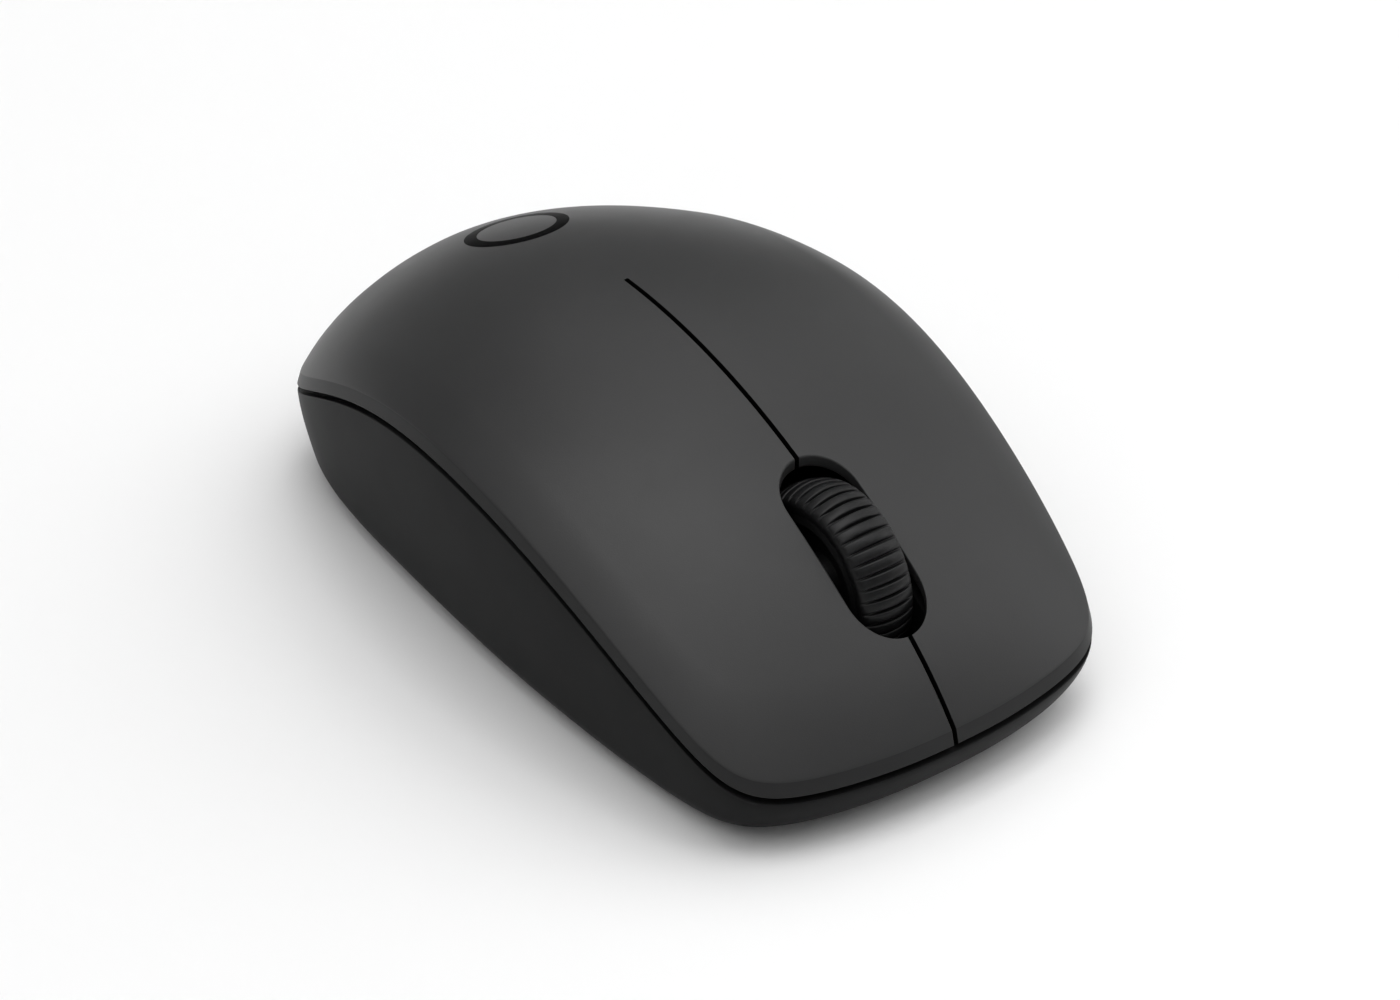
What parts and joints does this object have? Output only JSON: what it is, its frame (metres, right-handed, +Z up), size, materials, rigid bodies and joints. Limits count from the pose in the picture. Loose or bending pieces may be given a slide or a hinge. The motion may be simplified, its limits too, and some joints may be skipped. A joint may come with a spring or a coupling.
{
  "type": "computer mouse",
  "caption": "Compact wireless computer mouse with a domed top, two flexing keys, a ribbed scroll wheel that clicks, and a battery bay, power switch and stored receiver underneath.",
  "frame": {"origin": "centre of the footprint, on the surface that the glide feet stand on", "axes": "+Z up, -Y towards the button end, +X towards the user's left hand key"},
  "size_m": [0.0604, 0.1, 0.0354],
  "materials": {
    "shell_plastic": "matte, finely textured",
    "inner_plastic": "matte",
    "wheel_rubber": "satin",
    "steel": "plated",
    "glide": "smooth, waxy",
    "switch_plunger": "smooth",
    "switch_plastic": "satin",
    "battery_can": "printed sleeve",
    "capacitor_can": "sleeve",
    "board": "solder mask",
    "chip": "moulded",
    "clear_lens": "clear",
    "led": "clear tinted"
  },
  "bodies": {
    "base": {"palm_cover": "shell_plastic", "bottom_shell": "shell_plastic", "front_glide": "glide", "left_glide": "glide", "right_glide": "glide", "left_housing_screw": "steel", "right_housing_screw": "steel", "power_switch_body": "steel", "battery": "battery_can", "battery_spring_contact": "steel", "battery_plate_contact": "steel", "circuit_board": "board", "left_board_screw": "steel", "right_board_screw": "steel", "left_switch_body": "switch_plastic", "right_switch_body": "switch_plastic", "middle_switch_body": "switch_plastic", "optical_sensor": "chip", "sensor_lens": "clear_lens", "tracking_led": "led", "led_clip": "switch_plastic", "controller_chip": "chip", "crystal": "steel", "capacitor": "capacitor_can", "encoder_detector": "chip", "encoder_emitter": "clear_lens", "wheel_stand": "inner_plastic", "cradle_spring": "steel"},
    "left_key": {"left_key": "shell_plastic"},
    "right_key": {"right_key": "shell_plastic"},
    "left_plunger": {"left_switch_plunger": "switch_plunger"},
    "right_plunger": {"right_switch_plunger": "switch_plunger"},
    "middle_plunger": {"middle_switch_plunger": "switch_plunger"},
    "cradle": {"wheel_cradle": "inner_plastic"},
    "wheel": {"wheel_hub": "inner_plastic", "wheel_tyre": "wheel_rubber"},
    "power_slider": {"power_slider": "switch_plunger"},
    "battery_door": {"battery_door": "shell_plastic"},
    "receiver": {"receiver_cap": "shell_plastic", "receiver_plug": "steel", "receiver_tongue": "inner_plastic"}
  },
  "joints": [
    {"name": "left_click", "type": "hinge", "parent": "base", "child": "left_key", "pos_m": [0, 0.0125, 0.0344], "axis": [1, 0, 0], "range_deg": [0, 0.5], "stiffness_Nm_per_rad": 2.8, "springref_deg": -0.23},
    {"name": "right_click", "type": "hinge", "parent": "base", "child": "right_key", "pos_m": [0, 0.0125, 0.0344], "axis": [1, 0, 0], "range_deg": [0, 0.5], "stiffness_Nm_per_rad": 2.8, "springref_deg": -0.23},
    {"name": "left_switch_press", "type": "slide", "parent": "base", "child": "left_plunger", "axis": [0, 0, -1], "range_m": [0, 0.0004]},
    {"name": "right_switch_press", "type": "slide", "parent": "base", "child": "right_plunger", "axis": [0, 0, -1], "range_m": [0, 0.0004]},
    {"name": "wheel_click", "type": "hinge", "parent": "base", "child": "cradle", "pos_m": [0, -0.013, 0.0155], "axis": [1, 0, 0], "range_deg": [0, 1.6], "stiffness_Nm_per_rad": 0.43, "springref_deg": -1.15, "deforming": ["cradle_spring"]},
    {"name": "middle_switch_press", "type": "slide", "parent": "base", "child": "middle_plunger", "axis": [0, 0, -1], "range_m": [0, 0.0008]},
    {"name": "wheel_spin", "type": "hinge", "parent": "cradle", "child": "wheel", "pos_m": [0, -0.0279, 0.0176], "axis": [1, 0, 0], "continuous": true},
    {"name": "power_switch", "type": "slide", "parent": "base", "child": "power_slider", "axis": [0, 1, 0], "range_m": [0, 0.0025]},
    {"name": "battery_door_swing", "type": "hinge", "parent": "base", "child": "battery_door", "pos_m": [0, -0.0076, 0.0006], "axis": [-1, 0, 0], "range_deg": [0, 80]},
    {"name": "receiver_pull", "type": "slide", "parent": "base", "child": "receiver", "axis": [0, 0, -1], "range_m": [0, 0.02]}
  ],
  "couplings": [
    {"joint": "left_switch_press", "follows": "left_click", "m_per_rad": 0.045},
    {"joint": "right_switch_press", "follows": "right_click", "m_per_rad": 0.045},
    {"joint": "middle_switch_press", "follows": "wheel_click", "m_per_rad": 0.0278}
  ]
}
